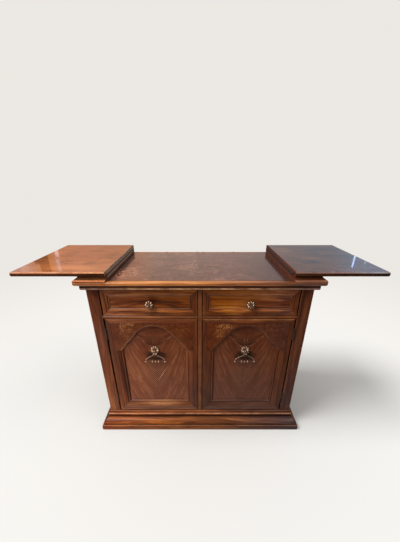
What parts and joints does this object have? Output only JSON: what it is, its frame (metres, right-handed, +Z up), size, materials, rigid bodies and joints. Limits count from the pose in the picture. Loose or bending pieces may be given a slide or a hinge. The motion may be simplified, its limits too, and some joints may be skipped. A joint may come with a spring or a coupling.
{
  "type": "bar cabinet",
  "caption": "Free-standing bar cabinet on a moulded plinth; its top unfolds into side shelves over a serving surface, above drawers and arched-panel doors.",
  "frame": {"origin": "on the floor, at the middle of the bounding box with both leaves open", "axes": "+X to the right along the open leaves, +Y to the back, +Z up"},
  "size_m": [1.5, 0.488, 0.8823],
  "materials": {
    "walnut": "stained walnut under a satin lacquer",
    "walnut_veneer": "figured walnut veneer under a satin lacquer",
    "serving_veneer": "dark figured veneer under a glossy, heat-proof finish",
    "inside_wood": "plain stained board",
    "drawer_wood": "bare hardwood, waxed",
    "plywood": "thin plywood",
    "antique_brass": "cast brass, antiqued and rubbed on its high spots",
    "aged_brass": "rolled brass, dulled with age",
    "steel": "plain zinc-plated steel",
    "catch_plastic": "brown moulded plastic with a magnet",
    "felt": "dark brown felt"
  },
  "bodies": {
    "root": {"plinth_frame_front": "walnut", "plinth_frame_sides": "walnut", "plinth_frame_rear": "inside_wood", "plinth_moulding_front": "walnut", "plinth_moulding_sides": "walnut", "plinth_blocks": "inside_wood", "bottom_panel": "inside_wood", "side_panel_left": "walnut_veneer", "side_panel_right": "walnut_veneer", "corner_post_left": "walnut", "corner_post_right": "walnut", "centre_stile": "walnut", "centre_partition": "inside_wood", "back_panel": "plywood", "drawer_rails": "walnut", "dust_panels": "inside_wood", "drawer_guides": "drawer_wood", "shelf_left": "inside_wood", "shelf_right": "inside_wood", "shelf_pins": "steel", "sub_top": "walnut", "top_slab": "walnut", "serving_surface": "serving_veneer", "end_cap_left": "walnut", "end_cap_right": "walnut", "top_felt_pads": "felt", "leaf_hinge_fixed_left": "aged_brass", "leaf_hinge_fixed_right": "aged_brass", "door_hinges_fixed_left": "aged_brass", "door_hinges_fixed_right": "aged_brass", "door_catches": "catch_plastic"},
    "leaf_left": {"leaf_board_left": "walnut_veneer", "leaf_hinge_moving_left": "aged_brass"},
    "drawer_left": {"drawer_front_left": "walnut_veneer", "drawer_sides_left": "drawer_wood", "drawer_back_left": "drawer_wood", "drawer_bottom_left": "plywood", "drawer_knob_left": "antique_brass"},
    "door_left": {"door_stiles_left": "walnut", "door_rails_left": "walnut", "door_panel_left": "walnut_veneer", "door_hinges_moving_left": "aged_brass", "door_strike_left": "steel", "pull_rosette_left": "antique_brass"},
    "pull_left": {"pull_bail_left": "antique_brass"},
    "leaf_right": {"leaf_board_right": "walnut_veneer", "leaf_hinge_moving_right": "aged_brass"},
    "drawer_right": {"drawer_front_right": "walnut_veneer", "drawer_sides_right": "drawer_wood", "drawer_back_right": "drawer_wood", "drawer_bottom_right": "plywood", "drawer_knob_right": "antique_brass"},
    "door_right": {"door_stiles_right": "walnut", "door_rails_right": "walnut", "door_panel_right": "walnut_veneer", "door_hinges_moving_right": "aged_brass", "door_strike_right": "steel", "pull_rosette_right": "antique_brass"},
    "pull_right": {"pull_bail_right": "antique_brass"}
  },
  "joints": [
    {"name": "leaf_left_fold", "type": "hinge", "parent": "root", "child": "leaf_left", "pos_m": [-0.3755, 0, 0.86315], "axis": [0, 1, 0], "range_deg": [0, 180]},
    {"name": "drawer_left_slide", "type": "slide", "parent": "root", "child": "drawer_left", "axis": [0, -1, 0], "range_m": [0, 0.3]},
    {"name": "door_left_swing", "type": "hinge", "parent": "root", "child": "door_left", "pos_m": [-0.42225, -0.2035, 0.38], "axis": [0, 0, -1], "range_deg": [0, 110]},
    {"name": "pull_left_swing", "type": "hinge", "parent": "door_left", "child": "pull_left", "pos_m": [-0.213, -0.203, 0.4675], "axis": [-1, 0, 0], "range_deg": [0, 80]},
    {"name": "leaf_right_fold", "type": "hinge", "parent": "root", "child": "leaf_right", "pos_m": [0.3755, 0, 0.86315], "axis": [0, -1, 0], "range_deg": [0, 180]},
    {"name": "drawer_right_slide", "type": "slide", "parent": "root", "child": "drawer_right", "axis": [0, -1, 0], "range_m": [0, 0.3]},
    {"name": "door_right_swing", "type": "hinge", "parent": "root", "child": "door_right", "pos_m": [0.42225, -0.2035, 0.38], "axis": [0, 0, 1], "range_deg": [0, 110]},
    {"name": "pull_right_swing", "type": "hinge", "parent": "door_right", "child": "pull_right", "pos_m": [0.213, -0.203, 0.4675], "axis": [-1, 0, 0], "range_deg": [0, 80]}
  ]
}
